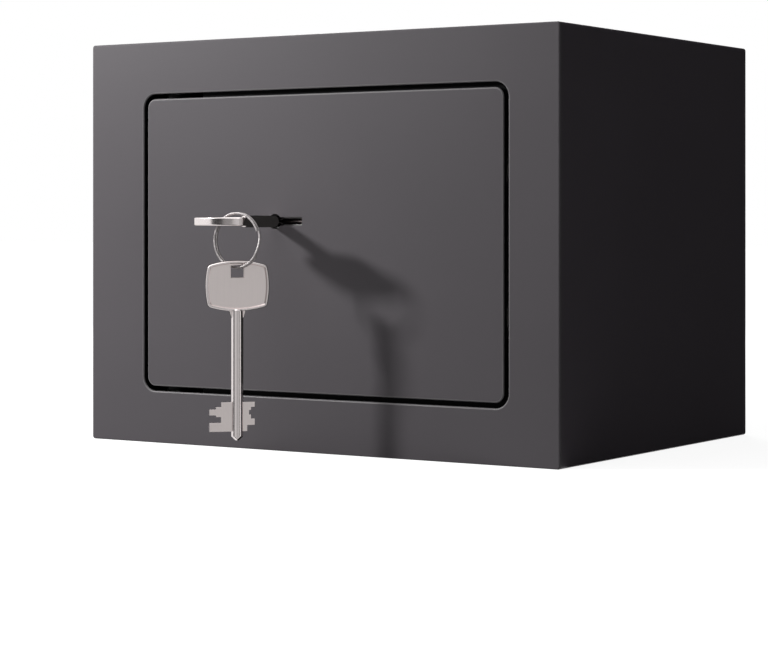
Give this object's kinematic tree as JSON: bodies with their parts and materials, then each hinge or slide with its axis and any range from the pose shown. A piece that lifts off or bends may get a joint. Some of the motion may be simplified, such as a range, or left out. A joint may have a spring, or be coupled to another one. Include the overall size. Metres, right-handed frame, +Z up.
{
  "type": "key-lock safe",
  "caption": "Small sheet-steel safe with a flush hinged door, a double-bit key lock that throws sliding bolts, and keys on a split ring.",
  "frame": {"origin": "centre of the cabinet's base, on the surface that it stands on", "axes": "+X to the right seen from the front, +Y from the door to the back, +Z up"},
  "size_m": [0.23, 0.217, 0.17],
  "materials": {
    "cabinet_paint": "satin dark charcoal powder coat",
    "front_paint": "satin charcoal powder coat",
    "zinc_plate": "bright zinc plating on sheet steel",
    "bright_steel": "turned bright steel",
    "dark_steel": "dull steel",
    "bolt_steel": "turned and nickel plated",
    "brass": "stamped brass, slightly dull",
    "nylon": "black nylon",
    "felt": "dark needle felt",
    "nickel": "satin nickel plating with brushed bow faces",
    "ring_wire": "nickel plated spring wire"
  },
  "bodies": {
    "cabinet": {"body_wrap": "cabinet_paint", "front_frame": "front_paint", "back_plate": "cabinet_paint", "hinge_bracket_top": "cabinet_paint", "hinge_bracket_bottom": "cabinet_paint", "door_stop_top": "cabinet_paint", "door_stop_bottom": "cabinet_paint", "bolt_keeper": "cabinet_paint", "floor_mat": "felt"},
    "door": {"door_plate": "front_paint", "hinge_bar": "cabinet_paint", "hinge_pin_top": "bright_steel", "hinge_pin_bottom": "bright_steel", "hinge_washers": "nylon", "anti_pry_strip": "cabinet_paint", "bolt_guide": "zinc_plate", "lock_case": "zinc_plate", "lock_cover": "zinc_plate", "lock_screws": "bright_steel", "lock_studs": "bright_steel", "lock_nuts": "zinc_plate", "lever_post": "bright_steel", "lever_collar": "brass", "lever_spacer": "brass", "guide_posts": "bright_steel", "guide_washers": "brass", "guide_nuts": "zinc_plate"},
    "lock_rotor": {"key_barrel": "dark_steel", "drive_cam": "brass", "crank_pin": "bright_steel"},
    "levers": {"lever_1": "brass", "lever_2": "brass", "lever_3": "brass", "lever_4": "brass", "lever_5": "brass", "lever_springs": "bright_steel"},
    "boltwork": {"bolt_carrier": "zinc_plate", "bolt_stump": "bright_steel", "bolt_upper": "bolt_steel", "bolt_lower": "bolt_steel", "bolt_screws": "zinc_plate"},
    "key": {"lock_key": "nickel"},
    "ring": {"split_ring": "ring_wire"},
    "spare": {"spare_key": "nickel"}
  },
  "joints": [
    {"name": "door_swing", "type": "hinge", "parent": "cabinet", "child": "door", "pos_m": [-0.0744, -0.077, 0.085], "axis": [0, 0, -1], "range_deg": [0, 105]},
    {"name": "key_turn", "type": "hinge", "parent": "door", "child": "lock_rotor", "pos_m": [-0.0178, -0.0644, 0.094], "axis": [0, 1, 0], "range_deg": [-180, 0]},
    {"name": "bolt_throw", "type": "slide", "parent": "door", "child": "boltwork", "axis": [1, 0, 0], "range_m": [0, 0.012]},
    {"name": "lever_drop", "type": "hinge", "parent": "door", "child": "levers", "pos_m": [-0.0458, -0.0658, 0.106], "axis": [0, 1, 0], "range_deg": [0, 6]},
    {"name": "key_draw", "type": "slide", "parent": "lock_rotor", "child": "key", "axis": [0, -1, 0], "range_m": [0, 0.031]},
    {"name": "ring_swing", "type": "hinge", "parent": "key", "child": "ring", "pos_m": [-0.00974, -0.12155, 0.09535], "axis": [1, 0, 0], "range_deg": [-15, 9]},
    {"name": "spare_swing", "type": "hinge", "parent": "ring", "child": "spare", "pos_m": [-0.00974, -0.12155, 0.07581], "axis": [1, 0, 0], "range_deg": [-15, 9]}
  ],
  "couplings": [
    {"joint": "bolt_throw", "follows": "key_turn", "m_per_rad": -0.0038197}
  ]
}
